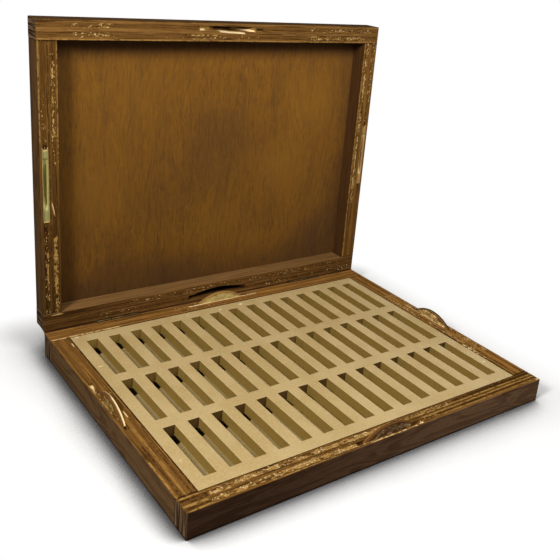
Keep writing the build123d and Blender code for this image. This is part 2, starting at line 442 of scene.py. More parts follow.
@dataclass(frozen=True)
class PlywoodFinish:
    """Stained plywood: striped edges, torn raw wood in the cross-grain plies and dark faces."""

    name: str
    shade: float = 1.0  # of the rim's colours: partly the rail's own tone, partly painted light and shade for how light falls on it
    face: Colour = (0.072, 0.032, 0.012)
    face_right: Colour | None = None  # at the board's far end, where it differs: painted sheen, lighter towards the right
    long_tone: Colour = (0.265, 0.128, 0.028)
    inner_tone: Colour = (0.080, 0.036, 0.012)
    raw_tone: Colour = (0.78, 0.60, 0.34)
    painted_shade_fall: Triple = (-500.0, -400.0, 1.0)  # painted shade: from, to, and the shade before it, where less light reaches the rail
    foot: float = 100.0  # how far under the rim the dark foot line starts: painted shade along the face's lower edge

    long_dark: Colour = (0.130, 0.056, 0.013)
    cross_tone: Colour = (0.165, 0.074, 0.017)
    dark_tone: Colour = (0.024, 0.010, 0.003)
    gold_tone: Colour = (0.40, 0.225, 0.058)
    end_tone: Colour = (0.171, 0.111, 0.063)
    filling: Colour = (0.265, 0.245, 0.095)  # of glue and dust in a filled slot
    # painted light: paler deep in a filled slot, where little light reaches
    deep_painted_light: Colour = (0.620, 0.575, 0.250)
    least_rough: float = 0.5
    face_reach: float = 180.0
    face_edge: Pair = (0.45, 0.25)  # under an arris, where the face starts and is full

    def material(self) -> Material:
        """Build the material. It reads the place on the board and its wear from the mesh.

        Returns:
            The material.
        """
        tree, dark = Tree(self.name), self.dark_tone
        board = tree.attribute("board", "Vector")
        torn, pit_and_shade, bare = (tree.attribute(name) for name in ("torn", "pit_and_shade", "bare"))
        along, across, under = tree.parts(board)
        wander = tree.noise(board, (0.03, 0.05, 0.05), 2)
        place = tree.math("MULTIPLY_ADD", wander, 1.6, tree.math("ADD", across, -0.8))
        cross = tree.ramp(tree.math("DIVIDE", place, PLY.thickness), PLY.stops())
        streak = tree.noise(board, (0.022, 1.7, 0.5), 5, 0.62, 0.5)
        fine = tree.noise(board, (0.16, 4.0, 4.0), 3, 0.6)
        grit = tree.noise(board, (1.6, 1.4, 1.6), 3, 0.7)
        cloud = tree.noise(board, (0.05, 0.16, 0.1), 2, 0.5)
        plies = tree.noise(board, (0.0, 0.85, 0.02), 3, 0.6)

        grain = ((streak, 0.38, 0.64, 1.0, self.long_dark), (fine, 0.42, 0.72, 0.45, self.long_dark))
        long_wood = tree.layers(self.long_tone, *grain)
        grain = ((grit, 0.42, 0.66, 0.8, dark), (streak, 0.50, 0.66, 0.5, dark))
        cross_wood = tree.layers(self.cross_tone, *grain)
        edge_wood = tree.mix(tree.math("MULTIPLY", cross, 0.72), long_wood, cross_wood)
        edge_wood = tree.layers(edge_wood, (cloud, 0.50, 0.75, 0.30, dark))
        # painted shade: the rim darkens before the start of its fall
        start, stop, level = self.painted_shade_fall
        shade = tree.math("MULTIPLY", tree.eased(along, stop, start, 1.0 - level), -self.shade)
        edge_wood = tree.shaded(edge_wood, tree.math("ADD", shade, self.shade))
        lining = tree.layers(self.inner_tone, (streak, 0.35, 0.70, 0.45, dark))
        inner_edge = (PLY.thickness - depth for depth in self.face_edge)
        outer = (across, *self.face_edge, 1.0, self.veneer(tree, board, fine, along))
        wood = tree.layers(edge_wood, outer, (across, *inner_edge, 1.0, lining))
        wood = tree.painted(wood, end=tree.layers(self.end_tone, (plies, 0.42, 0.58, 1.0, dark)))
        # painted shade: the outer face darkens along its lower edge
        wood = tree.layers(wood, (under, self.foot, self.foot + 1.2, 0.9, dark))
        # dark pits and painted shade darken the wood
        wood = tree.mix(tree.math("MULTIPLY", pit_and_shade, 0.9), wood, dark)
        fleck, raw = self.flecks(tree, board, torn)
        colour = tree.mix(fleck, wood, raw)
        colour = tree.mix(tree.math("MULTIPLY", bare, tree.eased(fine, 0.75, 0.35)), colour, self.gold_tone)
        # painted light: the filling pales deeper in the slot
        filling = tree.layers(self.filling, (under, 0.9, 3.5, 1.0, self.deep_painted_light))
        colour = tree.layers(colour, (bare, 1.0, 2.0, 1.0, self.raw_tone), (bare, 2.0, 3.0, 1.0, filling))
        relief = tree.bump(streak, 0.08, Normal=tree.bump(grit, 0.08))
        roughness = tree.math("ADD", tree.eased(streak, 0.2, 0.9, 0.2), self.least_rough)
        roughness = tree.math("MULTIPLY_ADD", fleck, 0.3, roughness)
        return tree.dress(colour, roughness, relief, Specular_IOR_Level=0.0)

    def veneer(self, tree: Tree, board: Socket, fine: Socket, along: Socket) -> Socket:
        """Colour of the rail's outer face: dark veneer with a large drawn-out figure, and a painted sheen
        towards its far end where one is given.

        Args:
            tree: The material.
            board: Place on the board.
            fine: Fine grain.
            along: Place along the board.

        Returns:
            The colour.
        """
        figure = tree.folded(tree.noise(board, (0.010, 0.05, 0.075), 3, 0.55, 1.4), 9.0)
        far = (along, -self.face_reach, self.face_reach, 1.0, self.face_right or self.face)
        colour = tree.layers(self.face, far)
        dark = tree.mix(1.0, colour, (0.45, 0.42, 0.42), "MULTIPLY")
        return tree.layers(colour, (figure, 0.15, 0.9, 0.65, dark), (fine, 0.42, 0.70, 0.5, dark))

    def flecks(self, tree: Tree, board: Socket, torn: Socket) -> tuple[Socket, Socket]:
        """Scales of raw wood left where the cutter tore the cross-grain plies.

        Args:
            tree: The material.
            board: Place on the board.
            torn: Share of the surface that is torn.

        Returns:
            The share of raw wood and its colour.
        """
        swayed = tree.swayed(board, (0.6, 0.6, 0.6), (1.8, 1.2, 1.2))
        inputs = {"Vector": tree.scaled(swayed, (0.52, 1.15, 1.15)), "Scale": 1.0}
        cells = tree.put("TexVoronoi", inputs).outputs
        chance, tint, _ = tree.parts(cells["Color"])
        spare = tree.math("ADD", chance, tree.math("ADD", torn, -1.0))
        core = tree.eased(cells["Distance"], 0.62, 0.28)
        fleck = tree.math("MULTIPLY", tree.eased(spare, 0.0, 0.12), core)
        patch = tree.noise(board, (0.16, 0.55, 0.55), 3, 0.6, 0.4)
        gold = tree.eased(tree.math("MULTIPLY_ADD", torn, 0.34, patch), 0.66, 0.78, 0.65)
        gold = tree.math("MULTIPLY", gold, tree.eased(torn, 0.05, 0.25))
        pale = tree.math("MULTIPLY", fleck, tree.eased(tint, 0.25, 0.95))
        return tree.math("MAXIMUM", fleck, gold), tree.mix(pale, self.gold_tone, self.raw_tone)


@dataclass(frozen=True)
class StainCloud:
    """Soft cloud in the panel's stain: its middle, its reach and its strength, under 0 if it is pale."""

    x: float
    z: float
    reach: float
    strength: float


@dataclass(frozen=True)
class PanelFinish:
    """Thin birch plywood, stained by hand: wavy upright grain, cloudy, darker towards its edges."""

    name: str
    tone: Colour
    warm: Colour
    dark: Colour
    glow: Colour
    clouds: tuple[StainCloud, ...] = ()

    painted_foot_shade: float = 0.80  # painted shade: level of the colours at the panel's foot, where less light reaches
    # painted light: how much the colours lift towards the panel's right side
    painted_right_light: float = 0.16
    half_width: float = 173.5
    low: float = 42.5
    high: float = 302.5
    least_rough: float = 0.40
    specular: float = 0.03

    def material(self) -> Material:
        """Build the material, on the frame's own place.

        Returns:
            The material.
        """
        tree, dark = Tree(self.name), self.dark
        place = tree.place()
        swayed = tree.swayed(place, (0.012, 0.0, 0.009), (30.0, 0.0, 24.0))
        grain = tree.noise(swayed, (0.55, 0.2, 0.035), 6, 0.66, 0.2)
        bands = tree.noise(swayed, (0.05, 0.1, 0.010), 3, 0.5, 0.8)
        pores = tree.noise(swayed, (0.85, 1.0, 0.09), 3, 0.6)
        mottle = tree.noise(place, (0.16, 0.2, 0.13), 4, 0.6)
        cloud = tree.noise(place, (0.020, 0.02, 0.022), 3, 0.5)
        x, _, z = tree.parts(place)
        ragged = tree.math("MULTIPLY_ADD", cloud, 30.0, -15.0)
        colour = tree.layers(
            self.warm,
            (grain, 0.36, 0.66, 0.60, self.tone),
            (bands, 0.42, 0.70, 0.22, dark),
            (grain, 0.54, 0.74, 0.22, dark),
            (mottle, 0.50, 0.72, 0.20, dark),
            (pores, 0.50, 0.68, 0.38, dark),
            (pores, 0.46, 0.32, 0.30, self.glow),
            (tree.folded(bands, 13.0), 0.84, 1.0, 0.34, self.glow),
        )
        for spot in self.clouds:
            apart = tree.length(tree.math("SUBTRACT", x, spot.x), tree.math("SUBTRACT", z, spot.z))
            apart = tree.math("ADD", apart, ragged)
            tone = dark if spot.strength > 0 else self.glow
            colour = tree.layers(colour, (apart, 1.4 * spot.reach, 0.0, abs(spot.strength), tone))
        to_side = tree.math("SUBTRACT", self.half_width, tree.math("ABSOLUTE", x))
        to_side = tree.math("ADD", to_side, tree.eased(x, 100.0, -100.0, 3.0))
        to_foot = tree.math("MULTIPLY", tree.math("SUBTRACT", z, self.low), 0.62)
        near = tree.math("ADD", tree.math("SMOOTH_MIN", to_side, to_foot, 14.0), ragged)
        # painted shadow under the top rail: darker over the panel's top 25 mm
        painted_head_shadow = (z, self.high - 25.0, self.high - 2.0, 0.72, dark)
        colour = tree.layers(colour, (near, 30.0, -4.0, 0.45, dark), painted_head_shadow)
        # painted shade and light: darker towards the foot, lighter towards the right
        painted_light_level = tree.math("SUBTRACT", 1.0, tree.eased(z, 290.0, 40.0, 1.0 - self.painted_foot_shade))
        painted_light_level = tree.math("ADD", painted_light_level, tree.eased(x, -100.0, 140.0, self.painted_right_light))
        relief = tree.bump(grain, 0.04, Normal=tree.bump(pores, 0.03))
        roughness = tree.math("ADD", tree.eased(grain, 0.2, 0.9, 0.16), self.least_rough)
        return tree.dress(tree.shaded(colour, painted_light_level), roughness, relief, Specular_IOR_Level=self.specular)


@dataclass(frozen=True)
class BoardFinish:
    """Raw fibreboard: matt, speckled with fibres, darker and rougher where it is cut."""

    name: str
    tone: Colour = (0.475, 0.345, 0.155)
    dark: Colour = (0.385, 0.268, 0.108)
    pale: Colour = (0.580, 0.445, 0.235)
    # darker tone of the slots' far walls; on a board with round holes, their painted shade
    burnt: Colour = (0.070, 0.035, 0.011)
    cut: Colour = (0.256, 0.158, 0.028)
    chipped: Colour = (0.76, 0.62, 0.36)
    hole_pitch: Pair | None = None  # of the round holes, which get painted shade inside
    hole_y: float = 28.75
    hole_reach: float = 7.2
    far_pitches: float = 20.5  # a whole number and a half, and more than there are holes each way
    top: float = 13.0

    def material(self) -> Material:
        """Build the material. A board without round holes reads its cuts and darker far walls from the mesh.

        Returns:
            The material.
        """
        tree = Tree(self.name)
        place = tree.place()
        fibre = tree.noise(place, (1.1, 0.75, 0.9), 4, 0.65, 0.3)
        fleck = tree.noise(place, (2.6, 2.0, 2.4), 2, 0.5)
        cloud = tree.noise(place, (0.035, 0.03, 0.03), 3, 0.5)
        pale = ((fleck, 0.55, 0.70, 0.30, self.pale), (cloud, 0.35, 0.70, 0.30, self.pale))
        colour = tree.layers(self.dark, (fibre, 0.36, 0.66, 1.0, self.tone), *pale)
        if self.hole_pitch is None:
            streaks = tree.noise(place, (1.6, 1.6, 0.12), 3, 0.6)
            wall = tree.layers(self.cut, (streaks, 0.35, 0.70, 0.35, self.dark))
            colour = tree.painted(colour, cut=wall, burn=self.burnt, chip=self.chipped)
        else:
            colour = tree.mix(self.painted_hole_shade(tree, place), colour, self.burnt)
        relief = tree.bump(fibre, 0.10, Normal=tree.bump(fleck, 0.06))
        return tree.dress(colour, tree.eased(fibre, 0, 1, 0.95), relief, Specular_IOR_Level=0.10)

    def painted_hole_shade(self, tree: Tree, place: Socket) -> Socket:
        """Painted shade where the round holes are: dark inside and just round their mouths.

        Args:
            tree: The material.
            place: Place in the frame.

        Returns:
            The share.
        """
        x, y, z = tree.parts(place)
        off = []
        for way, pitch, middle in zip((x, y), self.hole_pitch, (0.0, self.hole_y)):
            shifted = tree.math("ADD", way, self.far_pitches * pitch - middle)
            off.append(tree.math("SUBTRACT", tree.math("MODULO", shifted, pitch), pitch / 2))
        near = tree.eased(tree.length(*off), self.hole_reach + 0.8, self.hole_reach)
        # painted shade: everything under the board's top, the holes' walls, is dark
        return tree.math("MAXIMUM", near, tree.eased(z, self.top - 0.05, self.top - 0.3))


@dataclass(frozen=True)
class BiscuitFinish:
    """Pressed beech, brown with stain on top and pale where the stamped pattern is rubbed."""

    name: str
    stain: Colour
    pale: Colour
    crown: Colour  # the stained top edge
    lit: Colour = (0.170, 0.090, 0.030)  # its inner arris: worn pale wood with a painted highlight
    dark: Colour = (0.040, 0.020, 0.008)

    def material(self) -> Material:
        """Build the material. The rubbed share and the stamp's depth are read from the mesh.

        Returns:
            The material.
        """
        tree = Tree(self.name)
        grain = tree.noise(tree.attribute("lens", "Vector"), (0.30, 1.3, 1.3), 4, 0.65, 0.6)
        rubbed = tree.math("ADD", tree.attribute("rubbed"), tree.eased(grain, 0.3, 0.8, 0.5))
        colour = tree.layers(self.stain, (rubbed, 0.45, 1.05, 1.0, self.pale))
        crown = tree.layers(self.crown, (grain, 0.40, 0.62, 0.6, self.dark))
        colour = tree.painted(colour, crown=crown, arris=self.lit, stamp=self.dark)
        relief = tree.bump(grain, 0.15)
        return tree.dress(colour, tree.eased(grain, 0, 1, 0.8), relief, Specular_IOR_Level=0.0)


@dataclass(frozen=True)
class RawWoodFinish:
    """Plain turned wood of the dowels."""

    name: str = "dowel_beech"
    tone: Colour = (0.60, 0.44, 0.24)
    dark: Colour = (0.38, 0.25, 0.11)

    def material(self) -> Material:
        """Build the material."""
        tree = Tree(self.name)
        grain = tree.noise(tree.place(), (0.9, 0.9, 0.9), 4, 0.6, 0.5)
        colour = tree.layers(self.tone, (grain, 0.35, 0.70, 1.0, self.dark))
        return tree.dress(colour, tree.eased(grain, 0, 1, 0.8), tree.bump(grain, 0.1))


@dataclass(frozen=True)
class BrassFinish:
    """Rolled brass, tarnished in clouds and finely scratched."""

    name: str
    least_rough: float
    # darker than bare brass: painted shade, so the knuckles read dark in the seam; the tarnish clouds are
    # its own
    tone: Colour = (0.078, 0.046, 0.018)
    tarnish: Colour = (0.034, 0.020, 0.009)

    def material(self) -> Material:
        """Build the material.

        Returns:
            The material.
        """
        tree = Tree(self.name)
        place = tree.place()
        cloud = tree.noise(place, (0.11, 0.11, 0.11), 3, 0.5)
        scratch = tree.noise(place, (0.4, 9.0, 9.0), 2, 0.5)
        colour = tree.layers(self.tone, (cloud, 0.38, 0.66, 0.8, self.tarnish))
        rough = tree.math("ADD", tree.eased(cloud, 0.35, 0.75, 0.3), self.least_rough)
        return tree.dress(colour, rough, tree.bump(scratch, 0.02), Metallic=1.0)


@dataclass(frozen=True)
class TornRun:
    """Stretch of a rim where the cutter tore the plies: its ends, how badly and between which sides."""

    start: float
    end: float
    amount: float
    inner: float = -2.0
    outer: float = 20.0


@dataclass(frozen=True)
class Streak:
    """Long mark on a rim: raw wood where it is worn through, or a dark line where it is let down; some dark
    ones are painted shade, in the seam along the insert and in slots' deep ends.
    """

    start: float
    end: float
    across: float  # from the rail's outer face
    width: float
    level: float  # from 1, golden, to 2, raw; under 0, dark
    broken: float = 0.3  # share of it that is missing, in short gaps
    slope: float = 0.0  # how far it moves inwards for each millimetre along the rail
    fade: Pair = (1.5, 2.0)  # outside its ends and inside them
    soft: Pair = (0.35, 0.15)  # outside its sides and inside them
    sway: float = 0.5

    def share(self, u: Array, v: Array, noise: Noise) -> Array:
        """Strength of the mark on the rim.

        Args:
            u: Places along the rail.
            v: Places from its outer face.
            noise: Noise that frays it.

        Returns:
            The strength, from 0 to the level without its sign.
        """
        sway = self.sway * (noise.layered(u / 6 + self.across, v / 9, 2) - 0.5)
        middle = self.across + self.slope * (u - (self.start + self.end) / 2) + sway
        reach = self.width / 2 * (0.6 + 0.8 * noise.layered(u / 3.5, v / 6 + self.start, 2))
        here = abs(self.level) * band(u, self.start, self.end, *self.fade)
        if self.broken > 0:
            gaps = noise.layered(u / 2.4 + 11, v / 2.0 + self.across, 2)
            gap = 0.25 + 0.5 * self.broken
            here = here * smooth(gaps, gap - 0.06, gap + 0.06)
        out, within = self.soft
        return here * smooth(np.abs(v - middle), reach + out, reach - within)


@dataclass(frozen=True)
class Lens:
    """Outline of a biscuit, and how far it stands out of the base."""

    half_length: float = 28.0
    half_width: float = 11.5
    tip: float = 0.5
    proud: float = 9.0

    def reach(self, u: Array) -> Array:
        """Half the biscuit's width at distances from its middle."""
        rise = self.half_width - self.tip
        radius = (self.half_length**2 + rise**2) / (2 * rise)
        return self.tip + arc(radius, u) - (radius - rise)


LENS = Lens()


@dataclass(frozen=True)
class Blade:
    """Round blade that cut the biscuit slots."""

    radius: float = 50.0
    depth: float = 15.5
    room: float = 0.6  # over a biscuit, in a slot that is filled up to it
    filled_depth: float = 0.9  # of such a slot, past the biscuit's ends

    def depth_at(self, u: Array) -> Array:
        """Depth of the cut at distances from its middle, 0 past its ends."""
        return np.clip(arc(self.radius, u) - (self.radius - self.depth), 0, None)

    def filled_at(self, u: Array) -> Array:
        """The same where the slot is filled up with dust and glue to where its biscuit reaches."""
        need = LENS.reach(u) - (LENS.half_width - LENS.proud) + self.room
        need = np.where(np.abs(u) < LENS.half_length, need, 0)
        return np.minimum(self.depth_at(u), np.maximum(need, self.filled_depth))

    def half_length(self) -> float:
        """Half the slot's length at the rim."""
        return float(arc(self.radius, self.radius - self.depth))


@dataclass
class Rail:
    """One rail: a board swept from its cross-section, with plies, torn wood, slot and rabbet.

    On the board, u runs along it, v from its outer face inwards and h from its rim into the wood.
    """

    body: Body
    side: Side
    finish: PlywoodFinish
    seed: int
    runs: tuple[TornRun, ...]
    streaks: tuple[Streak, ...]
    slot_half_width: float = 2.1
    relief: Triple | None = None  # inner wall, half length and depth
    hinge_spots: tuple[float, ...] = ()
    slot_raw: Pair = (0.0, 0.0)  # at its edges and deep in it: 1 golden, 2 pale, 3 dusty; a paler value deep in it is partly painted light
    filled: bool = False  # whether the slot is filled up to where its biscuit reaches
    seam_lip: float = 0.85  # by which the edge between the hinges stands out, to close the seam
    worn_arris: float = 0.5

    slot_setback: float = 5.2
    blade: Blade = Blade()
    u_step: float = 0.8
    v_step: float = 0.42
    lip: float = 0.55  # radius of the rounded edges
    end_step: float = 0.2
    rabbet_depth: float = 3.0
    rabbet_lap: float = 9.0
    rabbet_radius: float = 6.0
    rabbet_end: float = 9.0  # from the rail's end, on the long rails
    shelf_gap: float = 0.02
    back_round: float = 0.15
    inner_lines: tuple[float, ...] = (0.10, 0.35, 0.65)  # of vertices, as shares of a face's height
    outer_lines: tuple[float, ...] = (0.85, 0.72)
    lip_lines: tuple[float, ...] = (0.42, 0.25, 0.12)  # over which the hinge edge's lip slopes away
    least_torn: float = 0.05
    run_fade: Pair = (5.0, 0.8)  # past a torn run's ends and sides
    ply_wander: float = 1.2
    grain_depth: float = 0.08
    crack_depth: float = 0.22
    torn_depth: Pair = (0.10, 0.35)  # of sound wood, and how much more where torn
    slot_relief: float = 0.4  # of the rim's relief, inside a slot
    # painted shade inside the hinge pocket
    pocket_painted_shade: float = 0.9
    end_joint: Pair = (1.5, 0.6)  # from a short rail's end, where it darkens
    seat_half_length: float = 22.0
    seat_height: float = 13.0
    seat_depth: float = 0.8
    groove_half_length: float = 22.9
    groove_radius: float = 1.9
    axis_out: float = 0.8
    axis_up: float = 0.15

    @property
    def node(self) -> str:
        """Name of the rail's node in the frame."""
        return f"{self.body.value}_{self.side.value}_rail"

    @property
    def is_long(self) -> bool:
        """Whether the rail runs the full width of the box."""
        return self.side in (Side.FRONT, Side.BACK)

    def directions(self) -> Array:
        """Ways along the rail, inwards from its outer face and from its rim into the wood.

        Returns:
            The three unit vectors.
        """
        x, y, z = np.eye(3)
        upward, into = (y, -z) if self.body is Body.BASE else (z, y)
        if not self.is_long:
            return np.stack([upward, x if self.side is Side.LEFT else -x, into])
        faces_up = (self.side is Side.FRONT) == (self.body is Body.BASE)
        return np.stack([x, upward if faces_up else -upward, into])

    def walls(self, u: Array) -> list[tuple[Array, Array, Array]]:
        """Strips of the rim between upright walls.

        Args:
            u: Stations along the rail.

        Returns:
            For each strip its outer edge, inner edge and depth at every station.
        """
        none, far = np.zeros_like(u), np.full_like(u, PLY.thickness)
        cut = self.blade.filled_at(u) if self.filled else self.blade.depth_at(u)
        outer, inner = (none + self.slot_setback + side * self.slot_half_width for side in (-1, 1))
        if self.relief is None:
            return [(none, outer, none), (outer, inner, cut), (inner, far, none)]
        wall, half_length, depth = self.relief
        rise = wall - (self.slot_setback + self.slot_half_width)
        radius = (half_length**2 + rise**2) / (2 * rise)
        swing = wall - radius + arc(radius, np.minimum(np.abs(u), half_length))
        swing = np.maximum(inner + 2 * WALL_GAP, swing)
        hollow = np.where(np.abs(u) < half_length, depth, 0.0)
        strips = [(none, outer, none), (outer, inner, np.maximum(cut, hollow))]
        return [*strips, (inner, swing, hollow), (swing, far, none)]

    def rim(self, u: Array, length: float) -> tuple[Array, ...]:
        """The rim's vertices.

        Args:
            u: Stations along the rail.
            length: Length of the rail.

        Returns:
            Distances from the outer face, depths, and shares of torn wood, of dark pits and painted
            shade, and of bare wood, by station and line.
        """
        columns, depths = [], []
        for edge, other, cut in self.walls(u):
            count = max(3, math.ceil(np.max(other - edge) / self.v_step) + 1)
            first = edge + WALL_GAP * (np.max(edge) > 0)
            last = other - WALL_GAP * (np.min(other) < PLY.thickness)
            columns.append(first[:, None] + (last - first)[:, None] * np.linspace(0, 1, count))
            depths.append(np.repeat(cut[:, None], count, 1))
        v, cut = np.concatenate(columns, 1), np.concatenate(depths, 1)
        grid = np.repeat(u[:, None], v.shape[1], 1)
        relief, torn, pit_and_shade = self.wear(grid, v)
        clear = smooth(v, 0.0, 0.8)
        noise, bare, dark = Noise(self.seed + 2), np.zeros_like(v), np.zeros_like(v)
        for streak in self.streaks:
            share = streak.share(grid, v, noise)
            if streak.level < 0:
                dark = np.maximum(dark, share)
            else:
                bare = np.maximum(bare, share)
        in_slot = np.abs(v - self.slot_setback) < self.slot_half_width + 2 * WALL_GAP
        in_slot &= (self.blade.depth_at(u) > 0)[:, None]
        raw = np.where(cut > 2 * self.blade.filled_depth, self.slot_raw[1], self.slot_raw[0])
        bare = np.where(in_slot, np.maximum(bare, raw) * (1 - dark), bare * clear)
        to_end, lip = (length / 2 - np.abs(u))[:, None], self.lip_at(u)[:, None]
        to_edge = np.where(lip > 0, PLY.thickness - v, np.minimum(v, PLY.thickness - v))
        rounding = self.rounded(np.minimum(to_edge, to_end))
        inside = cut > 0
        # dark streaks join the pits; some of them are painted shade in seams and in slots' deep ends
        pit_and_shade = np.maximum(pit_and_shade, dark)
        if not self.is_long:
            pit_and_shade = np.maximum(pit_and_shade, smooth(to_end, *self.end_joint))
        if self.relief is not None:
            # painted shade: the pocket's inside is darkened
            pit_and_shade = np.where(inside, self.pocket_painted_shade, pit_and_shade)
        relief = relief * clear
        depth = cut + np.where(inside, self.slot_relief * relief, relief + rounding)
        return v - lip * smooth(v, 2.0, 0.0), depth, torn * clear, pit_and_shade, bare

    def lip_at(self, u: Array) -> Array:
        """How far the hinge edge stands out, which is only between the hinges.

        Args:
            u: Stations along the rail.

        Returns:
            The distance at each.
        """
        clear = np.full(u.shape, bool(self.hinge_spots))
        for spot in self.hinge_spots:
            clear &= np.abs(u - spot) > self.groove_half_length
        return np.where(clear, self.seam_lip, 0.0)

    def rounded(self, distance: Array) -> Array:
        """Drop of a rounded edge at distances from it."""
        share = np.clip(1 - distance / self.lip, 0, 1)
        return self.lip * (1 - np.sqrt(1 - share**2 * 0.96))

    def wear(self, u: Array, v: Array) -> tuple[Array, Array, Array]:
        """Relief of the plies and of the wood torn from them.

        Args:
            u: Places along the rail.
            v: Places from its outer face.

        Returns:
            Depth under the rim, and the shares of torn wood and of dark pits.
        """
        noise, fine = Noise(self.seed), Noise(self.seed + 1)
        cross = PLY.cross(v + self.ply_wander * (noise.at(u / 30, v / 18) - 0.5))
        amount = np.full_like(u, self.least_torn)
        ends, sides = self.run_fade
        for run in self.runs:
            here = band(u, run.start, run.end, ends, ends) * band(v, run.inner, run.outer, sides, sides)
            amount = np.maximum(amount, run.amount * here)
        patch = noise.layered(u / 11 + 7, v / 5)
        torn = np.clip(amount * (0.25 + 1.5 * (patch - 0.15)) * (0.12 + 0.88 * cross), 0, 1)
        grit = fine.layered(u / 1.1 + 31, v / 0.7)
        groove = noise.layered(u / 38, v / 0.8 + 5, 2)
        pit_and_shade = smooth(grit, 0.52, 0.74) * cross * (0.12 + 0.73 * amount)
        pit_and_shade = np.maximum(pit_and_shade, smooth(groove, 0.64, 0.76) * 0.8)
        sound, more = self.torn_depth
        depth = self.grain_depth * noise.layered(u / 20, v / 0.7, 2) + (sound + more * amount) * cross * grit
        depth = depth + self.crack_depth * smooth(groove, 0.60, 0.76)
        arris = smooth(v, 1.3, 0.3) * smooth(noise.layered(u / 7, v / 3 + 40), 0.42, 0.62)
        return depth, np.maximum(torn, 0.6 * arris * self.worn_arris), pit_and_shade * (1 - 0.6 * arris)

    def under(self, u: Array, height: float, length: float) -> tuple[Array, ...]:
        """Rest of the cross-section, from the rim's inner edge round to its outer edge.

        Args:
            u: Stations along the rail.
            height: Height of the rail.
            length: Length of the rail.

        Returns:
            Distances from the outer face, and from the rim, by station and line.
        """
        thick, lip, ledge, shelf = PLY.thickness, self.lip, self.seat_height, height - self.rabbet_depth
        edge, floor = np.full_like(u, thick - self.rabbet_lap), np.full_like(u, shelf)
        if self.is_long:
            end, bend = length / 2 - self.rabbet_end, self.rabbet_radius
            drop = bend - arc(bend, np.clip(np.abs(u) - (end - bend), 0, bend))
            beyond = np.abs(u) > end
            edge = np.where(beyond, thick - 2 * lip, edge + drop)
            floor = np.where(beyond, height - 0.01, floor)
        seat = np.zeros_like(u)
        for spot in self.hinge_spots:
            seat = np.where(np.abs(u - spot) < self.seat_half_length, self.seat_depth, seat)
        lines = [(thick, share * shelf) for share in self.inner_lines]
        lines += [(thick, floor), (edge + self.shelf_gap, floor)]
        lines += [(edge, height - self.back_round), (edge - self.back_round, height)]
        lines += [(edge / 2, height), (lip, height), (0.3 * lip, height - 0.25 * lip), (0, height - lip)]
        lines += [(0, share * height) for share in self.outer_lines]
        lines.append((0, ledge + WALL_GAP))
        slope = [share * height for share in self.lip_lines]
        for h in (ledge - WALL_GAP, *slope):
            lines.append((seat - self.lip_at(u) * max(0.0, 1 - h / slope[0]), h))
        return tuple(np.stack([np.broadcast_to(line, u.shape) for line in part], 1) for part in zip(*lines))

    def groove(self, u: Array, v: Array, h: Array) -> Array:
        """Cut the groove that the hinge knuckles turn in out of the back edge.

        Args:
            u: Stations along the rail.
            v: Distances from the outer face.
            h: Distances from the rim.

        Returns:
            The distances from the rim with the groove cut.
        """
        reach = v + self.axis_out
        deep = arc(self.groove_radius, reach) - self.axis_up
        for spot in self.hinge_spots:
            here = (np.abs(u - spot) < self.groove_half_length)[:, None]
            h = np.where(here & (reach < self.groove_radius) & (h < deep), deep, h)
        return h

    def stations(self, half: float) -> Array:
        """Places along the rail for its vertices.

        Args:
            half: Half the rail's length.

        Returns:
            The places, from end to end.
        """
        sides = (-WALL_GAP, WALL_GAP)
        knots = {half, half - self.end_step, half - self.lip, self.blade.half_length()}
        if self.is_long:
            knots |= {half - self.rabbet_end + gap for gap in sides}
        if self.relief is not None:
            knots |= {self.relief[1] + gap for gap in sides}
        places = {sign * knot for knot in knots for sign in (-1, 1)}
        for spot in self.hinge_spots:
            for reach in (self.seat_half_length, self.groove_half_length):
                places |= {spot + sign * reach + gap for sign in (-1, 1) for gap in sides}
        return spread(sorted(places), self.u_step)

    def build(self) -> None:
        """Sweep the board and put it in the place of its node."""
        low, high = node_box(self.node)
        directions = self.directions()
        length, thick, height = np.abs(directions @ (high - low))
        corner = (low + high) / 2 - directions[1] * thick / 2 - directions[2] * height / 2
        half = length / 2
        u = self.stations(half)
        rim_v, rim_h, *rim_shares = self.rim(u, length)
        rest_v, rest_h = self.under(u, height, length)
        v, h = np.concatenate([rim_v, rest_v], 1), np.concatenate([rim_h, rest_h], 1)
        h = self.groove(u, v, h)
        plain = np.zeros_like(rest_v)
        joint = plain if self.is_long else plain + smooth(half - np.abs(u), 1.1, 0.4)[:, None]
        torn, pit_and_shade, bare = (np.concatenate(pair, 1) for pair in zip(rim_shares, (plain, joint, plain)))
        end = np.zeros_like(v)
        end[[0, -1]] = 1.0
        v = v + self.rounded(half - np.abs(u))[:, None] * smooth(v, 3, 0)
        board = np.stack(np.broadcast_arrays(u[:, None], v, h), -1).reshape(-1, 3)
        points = (corner + board @ directions) * MM
        faces = swept(v.shape, np.linalg.det(directions) < 0)
        values = {"board": board, "torn": torn, "pit_and_shade": pit_and_shade, "bare": bare, "end": end}
        piece = add_mesh(f"{self.node}_wood", points, faces, self.finish.material(), **values)
        settle(piece, self.body, self.node)


